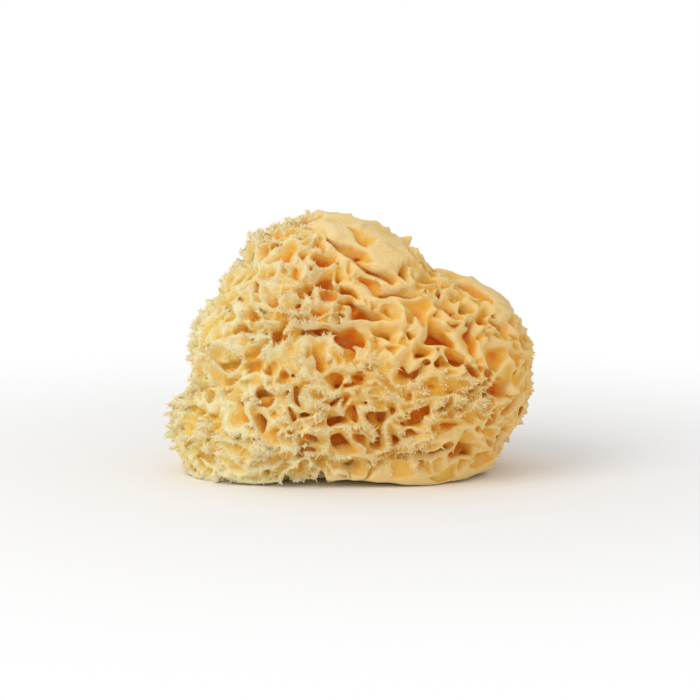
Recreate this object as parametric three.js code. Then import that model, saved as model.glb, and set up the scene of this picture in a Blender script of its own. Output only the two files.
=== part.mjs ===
// A dried honeycomb sea sponge: one grown piece, walled with pits and ridges, cut flat where it left its rock.
// Millimetres, +Z up. The cut rests on z = 0, and the side that the pits below are listed on faces -Y.

import * as THREE from "three";
import { ConvexHull } from "three/addons/math/ConvexHull.js";

// Driving dimensions: the skin is a rounded body with this front outline and these depths
const FRONT_OUTLINE = [
  // [x, z] going round from the haunch on the right, over the crown, to the heel on the left and back underneath
  [75, 36], [74.5, 52], [71, 62], [60.5, 73.5], [45.5, 80.5], [33, 85], [25.5, 91.5], [10, 100.5],
  [-7, 105], [-22, 105], [-34, 101], [-41.5, 95.5], [-44, 88], [-51.5, 81.5], [-56, 75.5], [-62, 68],
  [-68, 59.5], [-68, 51.5], [-66.5, 44.5], [-70, 36.5], [-73.5, 28], [-75, 20], [-73.5, 11], [-69.5, 1],
  [-60, -9], [-38, -17], [0, -19], [34, -16], [48, -8], [57, 2], [63, 12], [71, 22],
];
const HEART = new THREE.Vector3(0, 0, 42); // the middle of the body, which every pit runs towards
const DEPTH_FRONT = 50;
const DEPTH_BACK = 50;
const BOXINESS = 2.4; // exponent of the rounding from the outline to front and back: 2 is an ellipse
const BULGES = [
  // Broad lumps of the skin, and hollows where the height is below 0: [x, y, z, height, width]
  [36, -42, 30, 4, 22], [-46, -34, 62, -3, 18], [4, -40, 84, -4, 17], [-30, -44, 24, 2.5, 16],
  [-34, 42, 56, 7, 24], [28, 38, 78, -7, 20], [14, 50, 24, 5, 22], [56, 32, 42, 5, 20],
  [-62, 26, 22, -6, 18], [-12, 30, 94, 4, 16], [-14, 50, 8, -4, 18],
];
const WAVE = 1.1; // height of the slow waves over the lumps
const INSTEPS = [
  // The cut lifts off the ground here, under the middle of the front and at its right end: [x, y, wide, deep, high]
  [-8, -46, 24, 22, 4], [66, -36, 17, 24, 6],
];
const PAD_RADIUS = 8; // bare flat land in the middle of the cut
const USUAL_SIZE = 3.4; // half width of a pit of no special size
const VIEW_DOWN = THREE.MathUtils.degToRad(8); // the listed pits are placed as seen from this far above level

// Pits on the side facing -Y: [across, up, half length, half width, depth].
// Across and up are measured square to the line of sight, from the middle of the cut.
const FRONT_PITS = [
  // crown
  [-19.5, 88.5, 1.5, 1.5, 5],
  [-28, 89, 4, 4, 5],
  [-11, 87.5, 4, 3.5, 9],
  [-22.5, 80.5, 2.5, 1.5, 6],
  [-9.5, 78.5, 4, 3.5, 9],
  [-3, 79.5, 2, 2.5, 7],
  [-16.5, 76.5, 3, 1.5, 11],
  [-21.5, 74, 1.5, 1.5, 7],
  [-33.5, 81, 3, 1.5, 5],
  [-43.5, 79.5, 3, 2, 4],
  [-25, 99, 4, 2, 3],
  [-32.5, 96.5, 3.5, 2.5, 3],
  [-36.5, 89.5, 3.5, 2.5, 4],
  // fold between crown and haunch
  [0, 91, 6, 1.5, 9],
  [11, 83, 7, 1.5, 12],
  [20, 82.5, 3.5, 2.5, 12],
  [25.5, 89, 5.5, 2, 8],
  [31, 78, 5, 2.5, 9],
  [45, 76, 4.5, 3.5, 10],
  [54.5, 70.5, 4.5, 2.5, 7],
  [18, 73.5, 8.5, 1.5, 11],
  [4.5, 96.5, 6.5, 4, 2],
  // upper belly
  [-1.5, 74, 4, 2, 14],
  [-2.5, 69.5, 4, 2, 8],
  [5, 65, 7, 3, 13],
  [-2, 54.5, 7.5, 3.5, 14],
  [12, 58, 4, 2.5, 13],
  [21, 58, 1.5, 1.5, 9],
  [26, 65, 4, 3.5, 4],
  [38.5, 67.5, 3.5, 2.5, 10],
  [33.5, 56.5, 6.5, 4, 14],
  [26.5, 50, 2, 2, 9],
  [48, 53.5, 6, 2, 7],
  [54.5, 63, 4, 3, 5],
  [61.5, 58, 3.5, 2.5, 5],
  // left shoulder
  [-33.5, 70, 3, 2, 9],
  [-40.5, 70, 1.5, 1.5, 7],
  [-50.5, 62.5, 1.5, 1.5, 5],
  [-43, 63, 3.5, 2.5, 9],
  [-44, 57.5, 4.5, 2, 9],
  [-32, 57, 3.5, 3, 9],
  [-24, 67.5, 2, 1.5, 6],
  [-14, 65, 2, 1.5, 7],
  [-16, 55, 3.5, 1.5, 11],
  [-11.5, 55, 1.5, 1.5, 11],
  [-59, 53, 4, 2.5, 5],
  [-52.5, 57, 3, 1.5, 5],
  [-50.5, 70.5, 3.5, 2.5, 3],
  [-60.5, 60, 3, 2, 3],
  // middle band
  [-14, 47.5, 2.5, 3, 7],
  [-24.5, 42, 2.5, 1.5, 12],
  [-28.5, 40.5, 3, 2.5, 8],
  [-34.5, 41.5, 2, 2, 8],
  [-39, 34.5, 3, 2.5, 11],
  [-49.5, 47, 6, 3, 8],
  [-41, 48.5, 3, 2.5, 6],
  [-41.5, 42.5, 3.5, 1.5, 6],
  [-35, 30, 4, 1.5, 8],
  [-37, 21.5, 2.5, 3, 12],
  [-46, 24, 4, 2, 5],
  [-47.5, 29.5, 2.5, 1.5, 7],
  [-50.5, 39.5, 3.5, 1.5, 4],
  [-61.5, 39.5, 3.5, 2, 4],
  [-21.5, 34, 4, 2, 9],
  [-19, 27, 3, 1.5, 13],
  [-23.5, 26, 1.5, 3, 8],
  [-8, 30, 3, 2, 12],
  [-7, 39.5, 4, 2.5, 10],
  [2.5, 39.5, 4, 2, 13],
  [-2.5, 37, 3, 1.5, 12],
  [-7, 21.5, 4, 3, 12],
  [0, 24, 2, 3, 9],
  [3, 29, 1.5, 1.5, 12],
  [-2, 30, 2, 1.5, 6],
  // right middle
  [20.5, 42, 3, 3.5, 8],
  [25.5, 41, 1.5, 2.5, 7],
  [15.5, 37, 4, 1.5, 7],
  [41, 47, 3.5, 3, 12],
  [47, 40.5, 4, 2.5, 12],
  [57.5, 45.5, 4, 3, 6],
  [65.5, 47.5, 3, 2, 4],
  [67.5, 39.5, 3.5, 2, 4],
  [59.5, 34, 4, 2.5, 11],
  [54, 31.5, 2, 1.5, 11],
  [65, 28.5, 6, 1.5, 8],
  [57, 21.5, 3.5, 2, 10],
  [69, 22, 4, 1.5, 8],
  [60.5, 13.5, 4, 2, 8],
  [35.5, 34, 5, 1.5, 5],
  // belly floor
  [8.5, 21, 3.5, 3.5, 13],
  [9, 13, 4.5, 2.5, 14],
  [13, 26.5, 3, 2, 8],
  [16.5, 13, 3.5, 2, 12],
  [-5.5, 11, 4, 3, 13],
  [-17, 11.5, 5, 1.5, 8],
  [-22, 6, 2, 1.5, 6],
  [23.5, 20.5, 3.5, 4, 7],
  [19, 19, 2.5, 1.5, 11],
  [23, 15, 2, 1.5, 7],
  [29, 26, 1.5, 1.5, 8],
  [36, 26, 1.5, 1.5, 8],
  [38.5, 16.5, 4.5, 1.5, 6],
  [38, 21.5, 1.5, 1.5, 4],
  [47.5, 20.5, 2.5, 1.5, 3],
  [45, 8.5, 5.5, 4, 12],
  [31, 6.5, 7, 1.5, 10],
  [14.5, 5.5, 3.5, 1.5, 6],
  [2.5, 14.5, 2.5, 2, 6],
  [-2, 3.5, 4, 1.5, 4],
  [38, -1, 4.5, 2, 5],
  [21, -0.5, 4, 1.5, 4],
  // heel
  [-64, 25.5, 3, 2, 7],
  [-57.5, 25, 3, 1.5, 6],
  [-57, 5, 4, 3, 8],
  [-66.5, 16.5, 3.5, 2, 4],
  [-54.5, 19, 4, 2, 4],
  [-33.5, 17.5, 4, 3.5, 6],
  [-44.5, 9.5, 3.5, 2, 4],
  [-64, 7, 3.5, 2.5, 4],
  [-31, 6, 4, 2, 4],
  [-47, 1, 3, 1.5, 4],
];

// Filler pits everywhere else
const CANDIDATES = 7000;
const STRIDE = 2657; // steps through the candidates in a scattered order; shares no factor with their number
const PIT_SPACING = 8.4;
const SPACING_SWING = 1.3; // pits are larger on the haunch and smaller on the shoulder by up to this
const PIT_DEPTH = { least: 5, most: 12 };
const CUT_PIT_DEPTH = { least: 3, most: 7 };

// Walls between the pits
const CREST_SWING = 1.0; // the tips where three walls meet stand up to this far above or below the skin
const MOUTH = { least: 0.66, most: 0.84 }; // a pit's mouth as a share of its cell: the rest is the top of the walls
const LIP_DROP = 0.5; // the mouth's edge lies this far below the wall tops
const DEEP = 8; // a pit deeper than this narrows in two steps
const THROAT = { share: 0.5, depth: 0.55 }; // of the cell and of the depth, where the second step starts

const MATERIAL = new THREE.MeshStandardMaterial({ color: 0xe8cf93, roughness: 0.85, metalness: 0 });

// A repeatable number from 0 to 1 for each pit and purpose
function chance(index, salt) {
  const value = Math.sin(index * 12.9898 + salt * 78.233) * 43758.5453;
  return value - Math.floor(value);
}

function mix(low, high, share) {
  return low + (high - low) * share;
}

// The outline as a distance from the heart at each angle, read off a closed Catmull-Rom curve
const OUTLINE_STEPS = 720;
const outlineTable = (() => {
  const points = FRONT_OUTLINE.map(([x, z]) => new THREE.Vector3(x - HEART.x, 0, z - HEART.z));
  const curve = new THREE.CatmullRomCurve3(points, true, "catmullrom", 0.5);
  const rows = Array.from({ length: OUTLINE_STEPS }, (_, k) => {
    const p = curve.getPoint(k / OUTLINE_STEPS);
    return { angle: Math.atan2(p.z, p.x), radius: Math.hypot(p.x, p.z) };
  });
  return rows.sort((a, b) => a.angle - b.angle);
})();

function outlineRadius(angle) {
  let low = 0;
  let high = outlineTable.length - 1;
  if (angle <= outlineTable[low].angle || angle >= outlineTable[high].angle) return outlineTable[low].radius;
  while (high - low > 1) {
    const middle = (low + high) >> 1;
    if (outlineTable[middle].angle <= angle) low = middle;
    else high = middle;
  }
  const a = outlineTable[low];
  const b = outlineTable[high];
  return mix(a.radius, b.radius, (angle - a.angle) / (b.angle - a.angle));
}

// Height of the lumps and waves at a point near the skin
function swell(p) {
  const waves =
    Math.sin(p.x / 11 + p.z / 17 + 0.6) + Math.sin(p.y / 12 - p.z / 13 + 2.1) + Math.sin(p.z / 9 - p.x / 19 + p.y / 21);
  const lumps = BULGES.map(([x, y, z, height, width]) => {
    const away = Math.hypot(p.x - x, p.y - y, p.z - z) / width;
    return height * Math.exp(-away * away);
  });
  return lumps.reduce((sum, height) => sum + height, (WAVE * waves) / 3);
}

// Height of the cut above the ground
function cutHeight(x, y) {
  const rises = INSTEPS.map(([across, along, wide, deep, high]) => {
    return high * Math.exp(-(((x - across) / wide) ** 2) - ((y - along) / deep) ** 2);
  });
  return rises.reduce((sum, rise) => sum + rise, 0);
}

// The point of the skin in a unit direction from the heart, raised by rise where it isn't on the cut
function skin(direction, rise = 0) {
  const radius = outlineRadius(Math.atan2(direction.z, direction.x));
  const half = direction.y < 0 ? DEPTH_FRONT : DEPTH_BACK;
  const across = Math.hypot(direction.x, direction.z) / radius;
  const reach = (across ** BOXINESS + (Math.abs(direction.y) / half) ** BOXINESS) ** (-1 / BOXINESS);
  const rough = direction.clone().multiplyScalar(reach).add(HEART);
  const point = direction.clone().multiplyScalar(reach + swell(rough) + rise).add(HEART);
  if (direction.z >= 0 || point.z > cutHeight(point.x, point.y)) return { point, cut: false };
  const level = direction.clone().multiplyScalar(HEART.z / -direction.z).add(HEART);
  const reachCut = (HEART.z - cutHeight(level.x, level.y)) / -direction.z;
  return { point: direction.clone().multiplyScalar(reachCut).add(HEART), cut: true };
}

// Where the line of sight at (across, up) first meets the skin
function seenPoint(across, up) {
  const sight = new THREE.Vector3(0, Math.cos(VIEW_DOWN), -Math.sin(VIEW_DOWN));
  const start = new THREE.Vector3(across, up * Math.sin(VIEW_DOWN), up * Math.cos(VIEW_DOWN));
  const inside = (t) => {
    const p = start.clone().addScaledVector(sight, t);
    const arm = p.clone().sub(HEART);
    return p.z > cutHeight(p.x, p.y) && arm.length() < skin(arm.clone().normalize()).point.distanceTo(HEART);
  };
  let t = -2 * DEPTH_FRONT;
  while (!inside(t) && t < 0) t += 0.5;
  return start.addScaledVector(sight, t);
}

// Every pit: its direction from the heart, and its depth
function placePits() {
  const pits = FRONT_PITS.map(([across, up, long, wide, depth]) => {
    const point = seenPoint(across, up);
    return { point, depth, room: (PIT_SPACING + long) / 2, size: Math.sqrt(long * wide) };
  });
  pits.push({ point: new THREE.Vector3(0, 0, 0), depth: 0, room: PAD_RADIUS, size: USUAL_SIZE });
  const golden = Math.PI * (3 - Math.sqrt(5));
  for (let n = 0; n < CANDIDATES; n += 1) {
    const k = (n * STRIDE) % CANDIDATES;
    const height = 1 - (2 * k + 1) / CANDIDATES;
    const ring = Math.sqrt(1 - height * height);
    const direction = new THREE.Vector3(ring * Math.cos(k * golden), ring * Math.sin(k * golden), height);
    const { point, cut } = skin(direction);
    const room = (PIT_SPACING + SPACING_SWING * Math.sin(point.x / 30)) / 2;
    if (pits.some((pit) => pit.point.distanceTo(point) < pit.room + room)) continue;
    const range = cut ? CUT_PIT_DEPTH : PIT_DEPTH;
    pits.push({ point, depth: mix(range.least, range.most, chance(n, 1)), room, size: USUAL_SIZE });
  }
  return pits;
}

// Walls stand halfway between neighbouring pits. Seen from the heart that is the Voronoi diagram of the pits, whose
// corners are the face normals of the convex hull of their directions.
function spongeGeometry() {
  const pits = placePits();
  // A larger pit's stem is a little longer than 1, which pushes its walls out as a power diagram does
  const stems = pits.map(({ point, size }) => {
    const arm = point.clone().sub(HEART);
    return arm.clone().normalize().multiplyScalar(1 + (size ** 2 - USUAL_SIZE ** 2) / (2 * arm.lengthSq()));
  });
  const hull = new ConvexHull().setFromPoints(stems);
  const positions = [];
  const triangles = [];
  const add = (p) => positions.push(p.x, p.y, p.z) / 3 - 1;

  const corners = new Map(stems.map((stem) => [stem, []]));
  hull.faces.forEach((face, index) => {
    const { point } = skin(face.normal, mix(-CREST_SWING, CREST_SWING, chance(index, 2)));
    const corner = { point, id: add(point) };
    for (let side = 0; side < 3; side += 1) corners.get(face.getEdge(side).head().point).push(corner);
  });

  const band = (outer, inner) => {
    outer.forEach((a, j) => {
      const next = (j + 1) % outer.length;
      triangles.push(a, outer[next], inner[next], a, inner[next], inner[j]);
    });
  };
  const fan = (ring, middle) => ring.forEach((a, j) => triangles.push(a, ring[(j + 1) % ring.length], middle));

  pits.forEach(({ depth }, i) => {
    const inward = stems[i].clone().normalize().negate();
    const side = new THREE.Vector3(0.3, 0.5, 0.8).cross(inward).normalize();
    const up = side.clone().cross(inward);
    const turn = ({ point }) => {
      const arm = point.clone().sub(HEART);
      return Math.atan2(arm.dot(up), arm.dot(side));
    };
    const walls = corners.get(stems[i]).sort((a, b) => turn(a) - turn(b));
    const mouth = skin(inward.clone().negate());
    const rim = walls.map((corner) => corner.id);
    if (depth === 0) {
      fan(rim, add(mouth.point));
      return;
    }
    const ringAt = (share, sink) =>
      walls.map(({ point }) => add(mouth.point.clone().lerp(point, share).addScaledVector(inward, sink)));
    const open = ringAt(mix(MOUTH.least, MOUTH.most, chance(i, 3)), mouth.cut ? 0 : LIP_DROP);
    band(rim, open);
    let last = open;
    if (depth > DEEP) {
      last = ringAt(THROAT.share, depth * THROAT.depth);
      band(open, last);
    }
    fan(last, add(mouth.point.clone().addScaledVector(inward, depth)));
  });

  const geometry = new THREE.BufferGeometry();
  geometry.setAttribute("position", new THREE.Float32BufferAttribute(positions, 3));
  geometry.setIndex(triangles);
  geometry.computeVertexNormals();
  return geometry;
}

const sponge = new THREE.Mesh(spongeGeometry(), MATERIAL);
sponge.name = "sponge";

// The middle of the whole body's box stands over the origin
sponge.geometry.computeBoundingBox();
const middle = sponge.geometry.boundingBox.getCenter(new THREE.Vector3());
sponge.position.set(-middle.x, -middle.y, 0);

const part = new THREE.Group();
part.add(sponge);

export default part;
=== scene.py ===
"""A dried honeycomb sea sponge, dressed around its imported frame.

The body is the zero surface of one field: a lumpy skin, cut flat underneath, less the pits, pores and
canals that run into it. Those undercut one another, so no single sheet of two parameters can hold them, and
the field is worked out as whole numpy arrays on a grid and meshed there. The spines on the wall tops are
tapered profiles carried along short bent paths. Lengths in the shape's functions are millimetres, as in the
part's own source, and meshes are made in metres.
"""

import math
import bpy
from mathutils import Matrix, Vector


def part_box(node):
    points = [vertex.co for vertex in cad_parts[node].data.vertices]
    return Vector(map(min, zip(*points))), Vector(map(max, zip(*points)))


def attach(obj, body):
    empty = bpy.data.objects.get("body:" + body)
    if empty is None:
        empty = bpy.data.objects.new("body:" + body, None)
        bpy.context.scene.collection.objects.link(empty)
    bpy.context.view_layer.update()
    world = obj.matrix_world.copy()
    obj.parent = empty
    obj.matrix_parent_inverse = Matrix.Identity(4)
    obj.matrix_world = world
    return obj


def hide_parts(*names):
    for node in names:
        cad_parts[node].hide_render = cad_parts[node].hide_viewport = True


bl_info = {
    "name": "Honeycomb sea sponge",
    "version": (1, 0, 0),
    "blender": (4, 5, 0),
    "location": "View3D > Sidebar > Sponge",
    "description": "Builds a dried honeycomb sponge with pits, canals and spines, and a plain stage for it",
    "category": "Add Mesh",
}

import bpy
import numpy as np
from bpy.props import FloatProperty, FloatVectorProperty, IntProperty, PointerProperty
from mathutils import Vector

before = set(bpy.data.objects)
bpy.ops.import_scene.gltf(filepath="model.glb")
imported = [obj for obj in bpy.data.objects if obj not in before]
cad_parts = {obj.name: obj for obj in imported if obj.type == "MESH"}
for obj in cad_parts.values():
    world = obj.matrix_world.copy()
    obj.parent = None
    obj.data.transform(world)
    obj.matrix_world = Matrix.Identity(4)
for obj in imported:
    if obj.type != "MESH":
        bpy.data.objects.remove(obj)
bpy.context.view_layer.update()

MM = 0.001
BODY_NAME = "sponge_body"
SPINES_NAME = "sponge_spines"
TUFTS_NAME = "sponge_tufts"
CAD_NODE = "sponge"

# The skin: a rounded body with this front outline, [x, z] from the haunch over the crown to the heel and back
FRONT_OUTLINE = [
    (75, 36), (74.5, 52), (71, 62), (60.5, 73.5), (45.5, 80.5), (33, 85), (25.5, 91.5), (10, 100.5),
    (-7, 105), (-22, 105), (-34, 101), (-41.5, 95.5), (-44, 88), (-51.5, 81.5), (-56, 75.5), (-62, 68),
    (-68, 59.5), (-68, 51.5), (-66.5, 44.5), (-70, 36.5), (-73.5, 28), (-75, 20), (-73.5, 11), (-69.5, 1),
    (-60, -9), (-38, -17), (0, -19), (34, -16), (48, -8), (57, 2), (63, 12), (71, 22),
]
HEART = np.array([0.0, 0.0, 42.0])
DEPTH_FRONT = 50.0
DEPTH_BACK = 50.0
BOXINESS = 2.4
OUTLINE_STEPS = 720

# Bulges of the skin: the middle of each, its height and its width
BULGES = [
    (36, -42, 30, 4, 22), (-46, -34, 62, -3, 18), (4, -40, 84, -4, 17), (-30, -44, 24, 2.5, 16),
    (-34, 42, 56, 7, 24), (28, 38, 78, -7, 20), (14, 50, 24, 5, 22), (56, 32, 42, 5, 20),
    (-62, 26, 22, -6, 18), (-12, 30, 94, 4, 16), (-14, 50, 8, -4, 18),
]
WAVE = 1.1

# Where the cut lifts off the ground: across, back, wide, deep and high
INSTEPS = [(-8, -46, 24, 22, 4), (66, -36, 17, 24, 6)]
CUT_ROUNDING = 1.5
PAD_RADIUS = 8.0
VIEW_DOWN = math.radians(8.0)
SIGHT_STEP = 0.5
SLOPE_STEP = 0.2

# Pits on the side facing -Y: across, up, half length, half width, turn in degrees, depth
FRONT_PITS = [
    # crown
    (-19.5, 88.5, 1.5, 1.5, 0, 5), (-28, 89, 4, 4, 0, 5), (-11, 87.5, 4, 3.5, -20, 9),
    (-22.5, 80.5, 2.5, 1.5, -30, 6), (-9.5, 78.5, 4, 3.5, 0, 9), (-3, 79.5, 2, 2.5, 0, 7),
    (-16.5, 76.5, 3, 1.5, 70, 11), (-21.5, 74, 1.5, 1.5, 0, 7), (-33.5, 81, 3, 1.5, -70, 5),
    (-43.5, 79.5, 3, 2, 0, 4), (-25, 99, 4, 2, 10, 3), (-32.5, 96.5, 3.5, 2.5, 0, 3),
    (-36.5, 89.5, 3.5, 2.5, 60, 4),
    # fold between crown and haunch
    (0, 91, 6, 1.5, -20, 9), (11, 83, 7, 1.5, -40, 12), (20, 82.5, 3.5, 2.5, -80, 12),
    (25.5, 89, 5.5, 2, -65, 8), (31, 78, 5, 2.5, 0, 9), (45, 76, 4.5, 3.5, -20, 10),
    (54.5, 70.5, 4.5, 2.5, -20, 7), (18, 73.5, 8.5, 1.5, -6, 11), (4.5, 96.5, 6.5, 4, -25, 2),
    # upper belly
    (-1.5, 74, 4, 2, -20, 14), (-2.5, 69.5, 4, 2, 0, 8), (5, 65, 7, 3, 8, 13), (-2, 54.5, 7.5, 3.5, -4, 14),
    (12, 58, 4, 2.5, -15, 13), (21, 58, 1.5, 1.5, 0, 9), (26, 65, 4, 3.5, -60, 4),
    (38.5, 67.5, 3.5, 2.5, -35, 10), (33.5, 56.5, 6.5, 4, -30, 14), (26.5, 50, 2, 2, 60, 9),
    (48, 53.5, 6, 2, -80, 7), (54.5, 63, 4, 3, -60, 5), (61.5, 58, 3.5, 2.5, -50, 5),
    # left shoulder
    (-33.5, 70, 3, 2, 0, 9), (-40.5, 70, 1.5, 1.5, -60, 7), (-50.5, 62.5, 1.5, 1.5, 0, 5),
    (-43, 63, 3.5, 2.5, -40, 9), (-44, 57.5, 4.5, 2, 0, 9), (-32, 57, 3.5, 3, 60, 9),
    (-24, 67.5, 2, 1.5, -20, 6), (-14, 65, 2, 1.5, -50, 7), (-16, 55, 3.5, 1.5, 5, 11),
    (-11.5, 55, 1.5, 1.5, 30, 11), (-59, 53, 4, 2.5, 0, 5), (-52.5, 57, 3, 1.5, -50, 5),
    (-50.5, 70.5, 3.5, 2.5, 0, 3), (-60.5, 60, 3, 2, 30, 3),
    # middle band
    (-14, 47.5, 2.5, 3, 0, 7), (-24.5, 42, 2.5, 1.5, 20, 12), (-28.5, 40.5, 3, 2.5, 0, 8),
    (-34.5, 41.5, 2, 2, 0, 8), (-39, 34.5, 3, 2.5, -20, 11), (-49.5, 47, 6, 3, 0, 8),
    (-41, 48.5, 3, 2.5, 0, 6), (-41.5, 42.5, 3.5, 1.5, 20, 6), (-35, 30, 4, 1.5, 40, 8),
    (-37, 21.5, 2.5, 3, 60, 12), (-46, 24, 4, 2, -50, 5), (-47.5, 29.5, 2.5, 1.5, -70, 7),
    (-50.5, 39.5, 3.5, 1.5, 0, 4), (-61.5, 39.5, 3.5, 2, 0, 4), (-21.5, 34, 4, 2, -80, 9),
    (-19, 27, 3, 1.5, 5, 13), (-23.5, 26, 1.5, 3, 0, 8), (-8, 30, 3, 2, 20, 12), (-7, 39.5, 4, 2.5, 35, 10),
    (2.5, 39.5, 4, 2, -15, 13), (-2.5, 37, 3, 1.5, -5, 12), (-7, 21.5, 4, 3, 0, 12), (0, 24, 2, 3, 0, 9),
    (3, 29, 1.5, 1.5, 0, 12), (-2, 30, 2, 1.5, 0, 6),
    # right middle
    (20.5, 42, 3, 3.5, 0, 8), (25.5, 41, 1.5, 2.5, 0, 7), (15.5, 37, 4, 1.5, -50, 7),
    (41, 47, 3.5, 3, -30, 12), (47, 40.5, 4, 2.5, -50, 12), (57.5, 45.5, 4, 3, -70, 6),
    (65.5, 47.5, 3, 2, 0, 4), (67.5, 39.5, 3.5, 2, 70, 4), (59.5, 34, 4, 2.5, 30, 11),
    (54, 31.5, 2, 1.5, 70, 11), (65, 28.5, 6, 1.5, 40, 8), (57, 21.5, 3.5, 2, 60, 10),
    (69, 22, 4, 1.5, 50, 8), (60.5, 13.5, 4, 2, 40, 8), (35.5, 34, 5, 1.5, 5, 5),
    # belly floor
    (8.5, 21, 3.5, 3.5, 0, 13), (9, 13, 4.5, 2.5, -80, 14), (13, 26.5, 3, 2, -80, 8),
    (16.5, 13, 3.5, 2, -75, 12), (-5.5, 11, 4, 3, 10, 13), (-17, 11.5, 5, 1.5, 5, 8),
    (-22, 6, 2, 1.5, 0, 6), (23.5, 20.5, 3.5, 4, 0, 7), (19, 19, 2.5, 1.5, -50, 11), (23, 15, 2, 1.5, 0, 7),
    (29, 26, 1.5, 1.5, 0, 8), (36, 26, 1.5, 1.5, 0, 8), (38.5, 16.5, 4.5, 1.5, 0, 6),
    (38, 21.5, 1.5, 1.5, 0, 4), (47.5, 20.5, 2.5, 1.5, 0, 3), (45, 8.5, 5.5, 4, -10, 12),
    (31, 6.5, 7, 1.5, 2, 10), (14.5, 5.5, 3.5, 1.5, 5, 6), (2.5, 14.5, 2.5, 2, 0, 6),
    (-2, 3.5, 4, 1.5, 0, 4), (38, -1, 4.5, 2, 0, 1.2), (21, -0.5, 4, 1.5, 0, 2),
    # heel
    (-64, 25.5, 3, 2, 70, 7), (-57.5, 25, 3, 1.5, -30, 6), (-57, 5, 4, 3, 0, 8),
    (-66.5, 16.5, 3.5, 2, -30, 4), (-54.5, 19, 4, 2, 0, 4), (-33.5, 17.5, 4, 3.5, 0, 6),
    (-44.5, 9.5, 3.5, 2, 0, 4), (-64, 7, 3.5, 2.5, 0, 4), (-31, 6, 4, 2, 0, 4), (-47, 1, 3, 1.5, 0, 4),
]

# Filler pits elsewhere, on the same scattered walk over the skin as in the part's source. Their sizes are
# shares of the room, and depths, each as a least value and how much chance may add to it
CANDIDATES = 7000
STRIDE = 2657
PIT_SPACING = 8.4
SPACING_SWING = 1.3
SPACING_WAVE = 30
PIT_MARGIN = 0.7
PIT_SIZE = (0.8, 0.35)
PIT_SLIMNESS = (0.68, 0.3)
PIT_DEPTH = (5.0, 7.0)
CUT_PIT_DEPTH = (3.0, 4.0)

# How pits are cut: each is a bowl whose side widens upwards from a narrower throat, most of all on its upper
# side, and they lean down a little
BOWL_DEPTH = 4.0
BOWL_SPREAD = 0.36
BOWL_LIFT = 0.55
BOWL_ROUNDING = 3.0
BOWL_SLANT = 0.85
THROAT_SHARE = 0.92
THROAT_INSET = 0.4
NARROWING = 0.3
FLOOR_ROUNDING = 2.5
LOBES = 3
LOBE_HEIGHT = 0.16
LEAN = 0.22
LEAST_HALF_WIDTH = 0.9
PIT_BLEND = 0.4
CANAL_BLEND = 0.8

# How far around a pit or canal the grid is worked out: past its ends, beside it, and how far that box is
# raised
PIT_END_ROOM = 5
PIT_SIDE_SHARE = 1.4
PIT_SIDE_ROOM = 6
PIT_BOX_LIFT = 1
CANAL_ROOM = 3

# How the pits' sides are bent by noise
BEND_HEIGHT = 2.8
BEND_LENGTH = 9.0
BEND_SEEDS = (11, 12, 13)
FINE_BEND_HEIGHT = 1.7
FINE_BEND_LENGTH = 3.4
FINE_SEED_STEP = 3
CALM_BEND = 0.75

# Wall tops: how far they rise where walls meet, how far the skin is let in between the pits, the tips, grain,
# folds and pores, and how much less or more of each the calm and the ragged places get
RISE_WIDTH = 1.6
CALM_RELIEF = 0.7
RISE_SWING = 0.8
SWING_LIMITS = (0.2, 2)
RISE_LENGTH = 6.5
WALL_INSET = 3.8
CUT_FADE = 4
CUT_FADE_START = 0.3
TIP_LENGTH = 2.1
TEAR_HEIGHT = 0.95
CALM_TEAR = 0.4
GRAIN_HEIGHT = 0.35
GRAIN_LENGTH = 3.2
FOLD_LENGTHS = (13.0, 13.0, 7.0)
FOLD_WIDTH = 0.2
FOLD_HEIGHT = 2.0
RAGGED_FOLDS = 0.6
PORE_LENGTH = 2.4
CALM_PORES = 1.05
RAGGED_PORES = 0.88
BAND_PORES = 0.1
PORE_STEEPNESS = 1.3
EDGE_ROUNDING = 0.3
CALM_ROUNDING = 0.4
SEEDS = {"tips": 21, "grain": 22, "tears": 23, "rise": 24, "pores": 25, "folds": 26, "creases": 27}

# Smooth places: leathery bands that slope over the crown and the haunch, each with its middle, slope in
# degrees, half length, half width, where it ends at the back and how smooth it is, and the foot of the
# front, with its middle, half length and half height
BANDS = [(4, 98, -31, 22, 8, 16, 1.0), (56, 76, -40, 16, 4.6, 7, 0.85)]
BAND_FADE = 1.5
BAND_RISE = 0.5
BAND_FLATNESS = 0.85
CREASE_LENGTHS = (12.0, 12.0, 5.0)
CREASE_WIDTH = 0.3
CREASE_HEIGHT = 1.3
FOOT = (24.0, 0.0, 38.0, 7.5)

# Where the rough side ends: across in the lower and the upper half, the height between them, and how sharply.
# The crown is smoother than that and the fringe on the right rougher: the middle, widths and strength of each
LOW_EDGE = 30.0
HIGH_EDGE = -3.0
EDGE_HEIGHT = 48.0
EDGE_STEP = 3.0
EDGE_WIDTH = 8.0
SMOOTH_CROWN = (16, 92, 28, 20, 0.7)
FRINGE = (36, 40, 15, 10, 0.9)
LEAST_RAGGED = 0.05

# Slits: under the lower edge of the crown's band, along the haunch, and under the lip above the foot, as
# FRONT_PITS gives a pit
SLITS = [
    (-6, 93.5, 6, 1.1, -27, 6), (4, 87.5, 7, 1.4, -33, 9), (13, 81.5, 5, 1.9, -38, 11),
    (50, 74.5, 9, 2.8, -32, 6), (67.5, 61.5, 6, 0.9, -52, 3), (31, 7, 9, 1.3, 4, 9), (12, 2.5, 9, 0.9, 12, 4),
]
SLIT_BOWL = 0.35

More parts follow.
